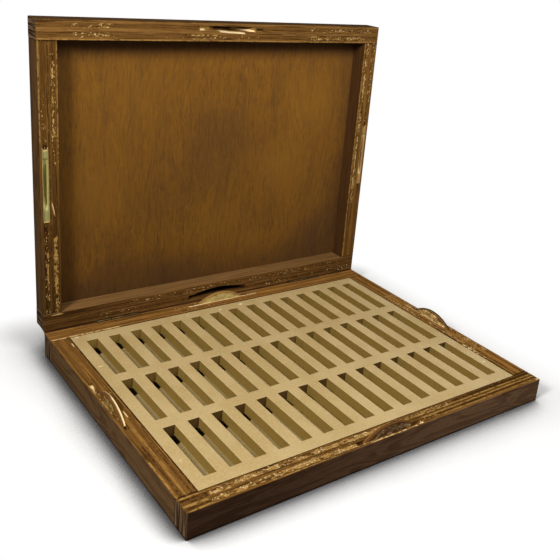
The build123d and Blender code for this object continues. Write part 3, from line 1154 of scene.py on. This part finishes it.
@dataclass
class Insert:
    """The slotted board: sharp slots with slightly frayed lips, cut walls and a few chips."""

    finish: BoardFinish
    node: str = "slotted_insert"
    columns: int = 15
    rows: int = 3
    slot_width: float = 11.0
    slot_length: float = 69.5
    land_step: float = 1.7
    lip: float = 0.4
    levels: tuple[float, ...] = (0.0, 0.04, 0.5, 1.0)  # lines down a wall, as shares of the thickness
    burns: tuple[float, ...] = (0.90, 0.66, 0.36)  # darkening of the slots' far walls, from the front row back
    fray_size: float = 3.1
    lip_drop: Pair = (0.08, 0.25)  # of the slots' lips, and how much more where they fray
    lip_shift: float = 0.12
    shift_size: float = 1.9
    top_wave: float = 0.05
    chip_fray: Pair = (0.24, 0.34)  # where a frayed lip starts to be chipped, and fully is
    mark_stretch: float = 1.5
    marks: tuple[Triple, ...] = (  # place and reach of paint-like chips
        (-167.4, 127.7, 1.3), (-168.0, 66.0, 1.2), (-168.2, -92.1, 0.9), (167.1, -96.1, 1.0),
        (14.4, 123.3, 2.0), (-12.6, 121.2, 1.3), (-50.4, 123.4, 1.0),
    )
    seed: int = 401

    def lines(self, half: float, count: int, size: float) -> tuple[Array, Array]:
        """Grid lines across the board one way, and which cells between them are slots.

        Args:
            half: Half the board's size that way.
            count: Number of slots that way.
            size: A slot's size that way.

        Returns:
            The lines, and one flag for each gap between two lines.
        """
        land = (2 * half - count * size) / (count + 1)
        knots = [-half, self.lip - half]
        for index in range(count):
            start = -half + land + index * (size + land)
            knots += [edge + off for edge in (start, start + size) for off in (-self.lip, 0, self.lip)]
        lines = spread([*knots, half - self.lip, half], self.land_step)
        middles = (lines[1:] + lines[:-1]) / 2
        inside = ((middles + half - land) % (size + land)) < size
        return lines, inside & (np.abs(middles) < half - land)

    def build(self) -> None:
        """Make the board and put it in the place of its node."""
        low, high = node_box(self.node)
        half_x, half_y = (high - low)[:2] / 2
        xs, slot_x = self.lines(half_x, self.columns, self.slot_width)
        ys, slot_y = self.lines(half_y, self.rows, self.slot_length)
        solid = ~(slot_x[:, None] & slot_y[None, :])
        around = np.pad(solid, 1)
        corners = (around[:-1, :-1], around[1:, :-1], around[:-1, 1:], around[1:, 1:])
        on_edge = np.any(corners, 0) & ~np.all(corners, 0)
        x, y = np.meshgrid(xs, ys, indexing="ij")
        noise = Noise(self.seed)
        fray = noise.layered(x / self.fray_size, y / self.fray_size) - 0.5
        least, more = self.lip_drop
        drop = np.where(on_edge, least + more * np.clip(fray, 0, 1), self.top_wave * fray)
        swing = noise.layered(x / self.shift_size + 60, y / self.shift_size, 2) - 0.5
        shift = np.where(on_edge, self.lip_shift * swing, 0)
        land = (2 * half_y - self.rows * self.slot_length) / (self.rows + 1)
        burn = np.zeros_like(x)
        for row, strength in enumerate(self.burns, 1):
            wall = row * (land + self.slot_length) - half_y
            burn += strength * (np.abs(y - wall) < self.lip / 2)
        chip = smooth(fray, *self.chip_fray) * on_edge
        for mark_x, mark_y, reach in self.marks:
            apart = np.hypot((x - mark_x) / self.mark_stretch, y - mark_y)
            chip = np.maximum(chip, smooth(apart, 1.3 * reach, 0.4 * reach))
        level = np.array(self.levels)[:, None, None]
        z = high[2] - np.where(level == 0, drop, 0) - level * (high - low)[2]
        side = np.where(level < 1, shift, 0)
        points = np.stack([x + side, y + side, z], -1).reshape(-1, 3) + [*(low + high)[:2] / 2, 0]
        below = np.broadcast_to(level > 0, z.shape)
        values = {"cut": below, "burn": burn * below, "chip": chip * ~below}
        number = np.arange(x.size).reshape(x.shape)
        top = np.stack([number[:-1, :-1], number[1:, :-1], number[1:, 1:], number[:-1, 1:]], -1)[solid]
        bottom = top[:, ::-1] + x.size * (len(self.levels) - 1)
        faces = np.concatenate([top, bottom, *self.upright(around, number)])
        used, faces = np.unique(faces, return_inverse=True)
        values = {key: numbers.ravel()[used] for key, numbers in values.items()}
        faces = faces.reshape(-1, 4).tolist()
        piece = add_mesh(f"{self.node}_board", points[used] * MM, faces, self.finish.material(), **values)
        settle(piece, Body.BASE, self.node)

    def upright(self, around: Array, number: Array) -> list[Array]:
        """Faces of every upright wall, where a solid cell meets an empty one.

        Args:
            around: Which cells are solid, with an empty cell added all round.
            number: Vertex numbers of the top level.

        Returns:
            The faces, in groups.
        """
        faces = []
        for axis in (0, 1):
            cells, corners = (around, number) if axis == 0 else (around.T, number.T)
            left, right = cells[:-1, 1:-1], cells[1:, 1:-1]
            for mask, flip in ((left & ~right, axis == 0), (~left & right, axis == 1)):
                ends = corners[:, :-1][mask], corners[:, 1:][mask]
                start, end = ends[::-1] if flip else ends
                for level in range(len(self.levels) - 1):
                    up, down = level * number.size, (level + 1) * number.size
                    faces.append(np.stack([start + up, start + down, end + down, end + up], -1))
        return faces


@dataclass
class Biscuit:
    """Joining biscuit: a pressed lens with a stamped cross-hatch, glued upright in the base."""

    side: Side
    seed: int
    rubbed: float
    finish: BiscuitFinish

    thickness: float = 4.0
    hatch_pitch: float = 2.3
    hatch_depth: float = 0.22
    hatch_edge: Pair = (0.72, 0.95)  # where a stamped line starts and is full
    crown_width: Pair = (1.9, 1.2)  # from the top, where the stain starts and is full
    corner: float = 0.45  # radius of its rounded rim
    belly: float = 0.28  # share of its thickness that it swells from the rim to the middle
    arris_width: Pair = (0.20, 0.5)  # of the painted highlight on the worn inner arris, as a share of the rim, and how much more
    arris_more: Pair = (12.0, -18.0)  # along it, from where it widens to where it is widest
    rim_fray: float = 0.35
    tip_step: float = 0.6
    u_step: float = 0.5
    rows: int = 44

    def build(self) -> None:
        """Make the lens and put it in the place of its node."""
        node = f"{self.side.value}_biscuit"
        low, high = node_box(node)
        lengthwise = self.side in (Side.FRONT, Side.BACK)
        chord = LENS.half_length
        knots = [-chord, self.tip_step - chord, chord - self.tip_step, chord]
        u = spread(knots, self.u_step)[:, None]
        reach = LENS.reach(u)
        noise = Noise(self.seed)
        around = np.linspace(0, 2 * math.pi, 2 * self.rows, endpoint=False)
        height = np.sin(around)
        share = np.sign(np.cos(around)) * np.clip(np.abs(np.cos(around)) * 6, 0, 1) ** 0.5
        t = np.sign(height) * np.abs(height) ** 0.8 * reach
        grid_u = np.repeat(u, len(around), 1)
        edge = np.clip((reach - np.abs(t)) / self.corner, 0, 1)
        face = self.thickness / 2 * share * (1 - self.belly + self.belly * np.sqrt(edge))
        ways = (np.abs((way / self.hatch_pitch) % 1 - 0.5) * 2 for way in (u + t, u - t))
        groove = np.maximum(*(smooth(way, *self.hatch_edge) for way in ways))
        groove = groove * smooth(edge, 0.5, 1.0) * (np.abs(share) > 0.98)
        worn = noise.layered(grid_u / 3.5 + 9, t / 3.0 + 5 * np.sign(share))
        groove = groove * smooth(worn, 0.85, 0.50)
        side = face - np.sign(face) * self.hatch_depth * groove
        t = t + self.rim_fray * (noise.layered(grid_u / 2.0, around / 0.6, 2) - 0.5) * (edge < 0.9)
        lens = np.stack([grid_u, side, t], -1).reshape(-1, 3)
        axes = np.eye(3)[[0, 1, 2] if lengthwise else [1, 0, 2]]
        points = np.clip((low + high) / 2 + lens @ axes, low, high) * MM
        crown = smooth(reach - t + 1.2 * (worn - 0.5), *self.crown_width)
        inner = -1 if self.side in (Side.RIGHT, Side.BACK) else 1
        least, more = self.arris_width
        width = least + more * smooth(u, *self.arris_more)
        # painted highlight along the worn inner arris
        arris = smooth(inner * share, 0.95 - width, 1.1 - width) * smooth(reach - t, 1.3, 0.5)
        rubbed = np.clip(self.rubbed + 0.9 * (worn - 0.5) + 0.25 * (edge < 0.6), 0, 1)
        values = {"lens": lens, "rubbed": rubbed, "stamp": 0.8 * groove, "crown": crown, "arris": arris}
        faces = swept(t.shape, not lengthwise)
        piece = add_mesh(f"{node}_lens", points, faces, self.finish.material(), **values)
        settle(piece, Body.BASE, node)


@dataclass(frozen=True)
class Fittings:
    """Pieces that keep their own solids, and the finish for each part of a name, the first that fits."""

    finishes: tuple[tuple[str, PanelFinish | BoardFinish | RawWoodFinish | BrassFinish], ...] = (
        # painted shade: the bottom panel is near black, so the holes over it read dark
        ("bottom_panel", PanelFinish(
            "bottom_panel_painted_shade", tone=(0.030, 0.014, 0.005), warm=(0.036, 0.017, 0.005),
            dark=(0.012, 0.006, 0.002), glow=(0.040, 0.020, 0.006),
        )),
        ("panel", PanelFinish(
            "stained_birch_panel", tone=(0.147, 0.064, 0.0116), warm=(0.180, 0.077, 0.0110),
            dark=(0.048, 0.025, 0.014), glow=(0.235, 0.106, 0.0150),
            clouds=rows(
                StainCloud,
                (5, 200, 44, 0.38), (-20, 160, 32, 0.25), (-70, 138, 30, 0.20), (60, 195, 26, 0.15),
                (160, 78, 44, 0.50), (125, 52, 40, 0.35), (-125, 52, 40, 0.30), (-50, 48, 36, 0.35),
                (-135, 150, 45, -0.30), (118, 232, 40, -0.40), (88, 165, 36, -0.40),
                (0, 100, 34, -0.35), (50, 77, 20, -0.40), (-95, 240, 50, -0.20),
            ),
        )),
        # painted shade: the backing board's holes are dark inside
        ("board", BoardFinish(
            "backing_fibreboard", tone=(0.42, 0.325, 0.150), dark=(0.31, 0.230, 0.095),
            pale=(0.51, 0.410, 0.215), burnt=(0.012, 0.007, 0.003), hole_pitch=(22.3125, 82.125),
        )),
        ("dowels", RawWoodFinish()),
        ("screws", BrassFinish("screw_brass", 0.36)),
        ("hinge", BrassFinish("hinge_brass", 0.42)),
    )

    def dress(self) -> None:
        """Give each of these nodes its finish."""
        made = {part: finish.material() for part, finish in self.finishes}
        for name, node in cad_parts.items():
            if node.hide_render:
                continue
            finish = next(made[part] for part in made if part in name)
            node.data.materials.clear()
            node.data.materials.append(finish)
            log.info("%s wears %s", name, finish.name)


@dataclass(frozen=True)
class Lamp:
    """Soft round lamp: where it hangs, its size and the light that it gives."""

    name: str
    place: Vector
    size: float
    power: float
    tint: Colour = (1.0, 1.0, 1.0)

    def hang(self, target: Vector) -> None:
        """Hang the lamp.

        Args:
            target: Point that it faces.
        """
        data = bpy.data.lights.new(self.name, "AREA")
        data.shape = "DISK"
        data.size = self.size
        data.energy = self.power
        data.color = self.tint
        lamp = add_object(self.name, data)
        lamp.location = self.place
        lamp.rotation_euler = (target - self.place).to_track_quat("-Z", "Y").to_euler()


@dataclass(frozen=True)
class Studio:
    """Camera, lamps, white surround and pale floor."""

    eye: Vector = Vector((-0.4101, -0.5395, 0.39965))
    azimuth: float = 38.578
    elevation: float = 19.521
    roll: float = 5.715
    focal_px: float = 785.61
    image_px: float = 560.0
    principal_px: Pair = (322.72, 226.85)
    sensor: float = 36.0
    floor_size: float = 12.0
    floor_fade: Pair = (20.0, 75.0)  # from the box, where the floor turns white
    floor_tone: Colour = (0.9, 0.9, 0.9)
    contact_tone: Colour = (0.05, 0.05, 0.055)
    contact_reach: float = 0.05
    unseen_tone: Colour = (0.25, 0.25, 0.25)  # of the floor, for the light that it throws back
    ambient: float = 0.06
    target: Vector = Vector((0.0, 0.02, 0.08))
    lamps: tuple[Lamp, ...] = (
        Lamp("left_window", Vector((-0.70, -0.29, 0.64)), 0.23, 7.4, (1.0, 0.99, 0.97)),
        Lamp("front_window", Vector((0.08, -0.36, 0.66)), 0.42, 3.5, (1.0, 0.99, 0.97)),
        Lamp("right_fill", Vector((0.95, 0.18, 0.12)), 0.20, 3.4),
        Lamp("back_fill", Vector((0.0, 0.95, 0.12)), 0.20, 3.4),
    )

    def camera(self) -> None:
        """Make the camera at the photograph's angle."""
        data = bpy.data.cameras.new("camera")
        data.sensor_width = self.sensor
        data.lens = self.focal_px / self.image_px * self.sensor
        data.shift_x = (self.image_px / 2 - self.principal_px[0]) / self.image_px
        data.shift_y = (self.principal_px[1] - self.image_px / 2) / self.image_px
        a, e, r = (math.radians(angle) for angle in (self.azimuth, self.elevation, self.roll))
        forward = Vector((math.sin(a) * math.cos(e), math.cos(a) * math.cos(e), -math.sin(e)))
        right = Vector((math.cos(a), -math.sin(a), 0))
        up = right.cross(forward)
        turned_right = right * math.cos(r) + up * math.sin(r)
        turned_up = up * math.cos(r) - right * math.sin(r)
        axes = Matrix((turned_right, turned_up, -forward)).transposed().to_4x4()
        camera = add_object("camera", data)
        camera.matrix_world = Matrix.Translation(self.eye) @ axes
        bpy.context.scene.camera = camera

    def surround(self) -> None:
        """Light the room evenly, and show white where nothing stands."""
        tree = Tree("surround", world=True)
        bpy.context.scene.world = tree.owner
        level = tree.put("MapRange", {"Value": tree.seen(), "To Min": self.ambient}).outputs["Result"]
        background = tree.nodes["Background"].inputs
        tree.feed(background["Strength"], level)
        tree.feed(background["Color"], (1.0, 1.0, 1.0))

    def floor(self) -> None:
        """Lay the pale floor: it keeps the shadow round the box, and shows white further out."""
        tree = Tree("pale_floor")
        middle, reach = (cad_low + cad_high) / 2 / MM, (cad_high - cad_low) / 2 / MM
        out = []
        for way, at, size in zip(tree.parts(tree.place())[:2], middle, reach):
            off = tree.math("ABSOLUTE", tree.math("SUBTRACT", way, at))
            out.append(tree.math("MAXIMUM", tree.math("SUBTRACT", off, size), 0.0))
        # painted contact shadow: the floor's colour darkens where ambient occlusion finds the box close
        contact = tree.put("AmbientOcclusion", {"Distance": self.contact_reach}, samples=8).outputs["AO"]
        shade = tree.layers(self.contact_tone, (contact, 0.45, 0.98, 1.0, self.floor_tone))
        shown = tree.seen()
        lit = tree.put("BsdfDiffuse", {"Color": tree.mix(shown, self.unseen_tone, shade)}).outputs[0]
        white = tree.put("Emission", {"Color": (1.0, 1.0, 1.0), "Strength": 1.0}).outputs[0]
        veil = tree.math("MULTIPLY", shown, tree.eased(tree.length(*out), *self.floor_fade))
        mixed = tree.put("MixShader", {0: veil, 1: lit, 2: white}).outputs[0]
        tree.feed(tree.nodes["Material Output"].inputs["Surface"], mixed)
        tree.nodes.remove(tree.nodes["Principled BSDF"])
        half = self.floor_size / 2
        points = np.array([(x, y, 0) for x in (-half, half) for y in (-half, half)], float)
        add_mesh("floor", points, [(0, 2, 3, 1)], tree.owner)

    def build(self) -> None:
        """Set up the whole studio."""
        self.camera()
        self.surround()
        self.floor()
        for lamp in self.lamps:
            lamp.hang(self.target)
        bpy.context.scene.view_settings.view_transform = "Standard"


@dataclass(frozen=True)
class Frames:
    """The eight rails of the base and the lid."""

    hinges: Pair = (-116.5, 116.5)
    foot: float = 21.6  # where the base's foot line starts: painted shade along its lower edge
    base_face: Colour = (0.135, 0.075, 0.033)
    lid_face: Colour = (0.104, 0.055, 0.022)
    lid_slot: float = 2.4  # half its width
    pocket: Triple = (11.53, 30.0, 9.4)  # of the lid's back rail: inner wall, half length and depth

    def base(self) -> list[Rail]:
        """The base's rails with their finishes and marks.

        Returns:
            The rails.
        """
        # the front face lightens towards the right: painted sheen
        front = PlywoodFinish(
            "ply_base_front", 0.80, (0.064, 0.032, 0.017), (0.200, 0.110, 0.058), foot=self.foot
        )
        back = PlywoodFinish("ply_base_back", 1.36, foot=self.foot)
        left = PlywoodFinish("ply_base_left", 1.04, self.base_face, foot=self.foot)
        right = PlywoodFinish("ply_base_right", 1.32, self.base_face, foot=self.foot)
        front_runs = rows(TornRun, (-170, 20, 0.95), (20, 82, 0.45, 10, 16), (20, 60, 0.3, 2, 8))
        # dark rows along 17.3 to 17.6 from the outer face are painted shade in the seam along the insert
        front_streaks = rows(
            Streak,
            (-191, 191, 17.6, 1.4, -1.0, 0), (-168, -150, 11.2, 2.8, 1.4), (-161, -142, 3.4, 2.0, 1.1),
            (-120, -60, 1.4, 1.0, 1.0), (-24, 3, 1.1, 1.0, 1.6), (5, 30, 1.0, 0.9, 1.8),
            (17, 53, 12.4, 0.8, 1.3), (31.0, 36.5, 2.7, 2.5, 2.0, 0), (-28, 20, 7.9, 0.8, -1.0, 0.1),
            (-100, 190, 9.4, 1.0, -0.8, 0.2), (84, 190, 14.4, 2.6, -0.85, 0.1),
            (40, 190, 11.6, 1.0, 1.1, 0.15), (40, 190, 7.7, 1.5, 0.9, 0.2),
            (36, 190, 5.6, 1.1, -0.9, 0.15), (60, 190, 3.0, 1.4, 0.8), (187, 191, 1.6, 2.2, 2.0, 0),
            (-191, -160, 13.3, 1.5, -1.0), (-191, -168, 10.2, 1.2, -1.0), (-191, -165, 4.2, 1.1, -1.0),
            (-191, -170, 15.8, 1.6, 1.0), (-191, -170, 7.2, 2.2, 0.8), (-191, -170, 1.6, 1.2, 1.0),
        )
        back_streaks = rows(
            Streak,
            (-191, -122, 17.3, 1.0, 1.6, 0.1), (-122, 150, 17.6, 0.5, -0.7),
            (-41, 46, 7.8, 1.4, 2.0, 0.05), (-58, -40, 6.4, 0.7, 1.4),
        )
        left_streaks = rows(
            Streak,
            (-130, 130, 17.6, 1.6, -1.0, 0), (24, 39, 3.9, 2.8, 1.75, 0), (39.5, 42, 4.4, 2.6, -1.0, 0),
            (20.5, 23.5, 4.0, 2.0, -1.0, 0), (-11, 18, 2.8, 1.2, 1.4), (-21, -10, 12.0, 1.0, 1.8, 0),
            (110, 118, 15.4, 1.2, 1.6, 0), (-139, -60, 13.2, 0.8, -0.8), (-130, -60, 5.0, 1.2, -0.8),
            (-139, -30, 8.8, 1.8, 0.45), (-139, -80, 1.2, 1.2, 0.9),
        )
        right_streaks = rows(
            Streak,
            (-138, -20, 17.5, 1.0, -1.0, 0.1), (-26, 40, 7.6, 1.1, 1.8, 0.1),
            (-95, -60, 17.2, 1.2, 1.8), (-130, 20, 12.6, 1.2, -0.8), (-130, 130, 4.6, 1.0, -0.7),
        )
        back_run, left_run, right_run = rows(TornRun, (-60, 30, 0.25), (-30, 40, 0.15), (-80, 70, 0.55))
        return [
            Rail(Body.BASE, Side.FRONT, front, 11, front_runs, front_streaks),
            Rail(Body.BASE, Side.BACK, back, 23, (back_run,), back_streaks, hinge_spots=self.hinges),
            Rail(Body.BASE, Side.LEFT, left, 37, (left_run,), left_streaks),
            Rail(Body.BASE, Side.RIGHT, right, 41, (right_run,), right_streaks),
        ]

    def lid(self) -> list[Rail]:
        """The lid's rails with their finishes and marks.

        Returns:
            The rails.
        """
        top = PlywoodFinish("ply_lid_top", face=self.lid_face, long_tone=(0.265, 0.136, 0.037))
        # painted shade: the foot rail darkens towards its left end, the left rail towards its foot
        foot = PlywoodFinish(
            "ply_lid_foot", 0.78, long_tone=(0.265, 0.128, 0.037), inner_tone=(0.205, 0.106, 0.036),
            painted_shade_fall=(-190.0, -60.0, 0.62),
        )
        left = PlywoodFinish(
            "ply_lid_left", 0.66, self.lid_face, raw_tone=(0.62, 0.47, 0.23),
            painted_shade_fall=(-140.0, 60.0, 0.58),
        )
        right = PlywoodFinish("ply_lid_right", 0.98)
        top_runs = rows(TornRun, (-160, -120, 0.5), (-52, 35, 0.3, 10, 17), (95, 180, 0.55))
        # dark rows of level -1 at the slots' ends, and inside the top rail's slot, are painted shade where
        # the slots go deep
        top_streaks = rows(
            Streak,
            (-191, 191, 17.2, 0.8, 0.9), (-48, -13, 11.8, 1.1, 1.3, 0.5),
            (-14, 16, 8.7, 1.5, 2.0, 0, 0.05), (2, 28, 6.2, 1.7, 2.0, 0, 0.09),
            (-36, -29, 6.4, 2.2, 1.7, 0), (28.5, 37, 5.3, 3.2, -1.0, 0), (-18, 3, 4.6, 2.0, -1.0, 0),
        )
        foot_runs = rows(TornRun, (-135, -95, 0.30, 2, 8), (-105, 60, 0.26, 10, 16), (60, 191, 0.25))
        foot_streaks = rows(
            Streak, (-184, -173, 15.8, 0.9, 1.5, 0), (-160, 190, 9.0, 1.4, -0.6), (-160, 190, 4.6, 1.2, -0.6)
        )
        left_runs = rows(
            TornRun,
            (-130, -40, 0.35, 2, 7), (-138, -50, 0.42, 11, 16), (16, 118, 0.34, 11, 16),
            (20, 90, 0.20, 2, 7),
        )
        left_streaks = rows(
            Streak,
            (20, 138, 17.2, 0.8, 0.9), (40, 138, 0.9, 0.9, 0.9), (-106, -50, 13.2, 3.0, 1.15, 0.45),
            (-124, -106, 13.2, 1.4, 1.4), (-138, -128, 13.0, 1.8, 1.4, 0.4),
            (45, 120, 13.2, 1.3, 1.3, 0.55), (-97, -66, 5.4, 1.0, 1.35, 0.15),
            (-30, -17, 11.6, 0.8, 1.9, 0, -0.18), (-138, 138, 9.2, 1.2, -0.6),
            (-138, -46, 3.4, 0.9, -0.8), (32.5, 38.5, 5.3, 3.6, -1.0, 0), (-47, -38.5, 4.0, 3.0, -1.0, 0),
        )
        right_runs = rows(TornRun, (-60, 135, 0.55, 11, 16), (40, 130, 0.4, 1, 7))
        right_streaks = rows(
            Streak,
            (-138, 138, 17.2, 0.8, 0.9), (50, 135, 13.2, 1.6, 1.4, 0.55),
            (-50, 40, 13.6, 1.1, 1.6, 0.6), (34, 38, 5.4, 2.6, -1.0, 0), (-40, -36.5, 5.4, 2.6, -1.0, 0),
        )
        slot = {"slot_half_width": self.lid_slot, "filled": True}
        hinged = {"relief": self.pocket, "hinge_spots": self.hinges, "seam_lip": 1.15, "worn_arris": 0.2}
        # the stiles' slots are paler deep inside: raw wood, with painted light where little light reaches
        left_slot = {"slot_raw": (3.0, 3.0), "worn_arris": 0.1}
        right_slot = {"slot_raw": (1.2, 2.0), "worn_arris": 0.1}
        return [
            Rail(Body.LID, Side.FRONT, top, 53, top_runs, top_streaks, slot_raw=(0.5, 0.5), **slot),
            Rail(Body.LID, Side.BACK, foot, 67, foot_runs, foot_streaks, self.lid_slot, **hinged),
            Rail(Body.LID, Side.LEFT, left, 71, left_runs, left_streaks, **left_slot, **slot),
            Rail(Body.LID, Side.RIGHT, right, 83, right_runs, right_streaks, **right_slot, **slot),
        ]

    def build(self) -> None:
        """Build every rail."""
        for rail in (*self.base(), *self.lid()):
            rail.build()


def biscuits() -> tuple[Biscuit, ...]:
    """The four biscuits, each with its own stain.

    Returns:
        The biscuits.
    """
    dark = BiscuitFinish(
        "biscuit_dark", stain=(0.125, 0.054, 0.016), pale=(0.47, 0.34, 0.18),
        crown=(0.140, 0.060, 0.017), lit=(0.215, 0.105, 0.030), dark=(0.018, 0.010, 0.006),
    )
    pale = BiscuitFinish(
        "biscuit_pale", stain=(0.28, 0.165, 0.048), pale=(0.57, 0.43, 0.155),
        crown=(0.34, 0.185, 0.050), lit=(0.34, 0.185, 0.050), dark=(0.10, 0.055, 0.016),
    )
    brown = BiscuitFinish(
        "biscuit_brown", stain=(0.170, 0.082, 0.018), pale=(0.51, 0.36, 0.115),
        crown=(0.16, 0.070, 0.019), lit=(0.86, 0.67, 0.34),
    )
    gold = BiscuitFinish(
        "biscuit_gold", stain=(0.29, 0.150, 0.040), pale=(0.92, 0.68, 0.28),
        crown=(0.10, 0.048, 0.014),
    )
    return (
        Biscuit(Side.FRONT, 101, 0.42, dark),
        Biscuit(Side.BACK, 103, 0.75, pale),
        Biscuit(Side.LEFT, 107, 0.4, brown),
        Biscuit(Side.RIGHT, 109, 0.55, gold),
    )


def main() -> None:
    """Build the studio, then the box from its frames to its fittings."""
    logging.basicConfig(level=logging.INFO, format="%(message)s")
    Studio().build()
    Frames().build()
    Insert(BoardFinish("slotted_fibreboard")).build()
    for biscuit in biscuits():
        biscuit.build()
    Fittings().dress()


if __name__ == "__main__":
    main()
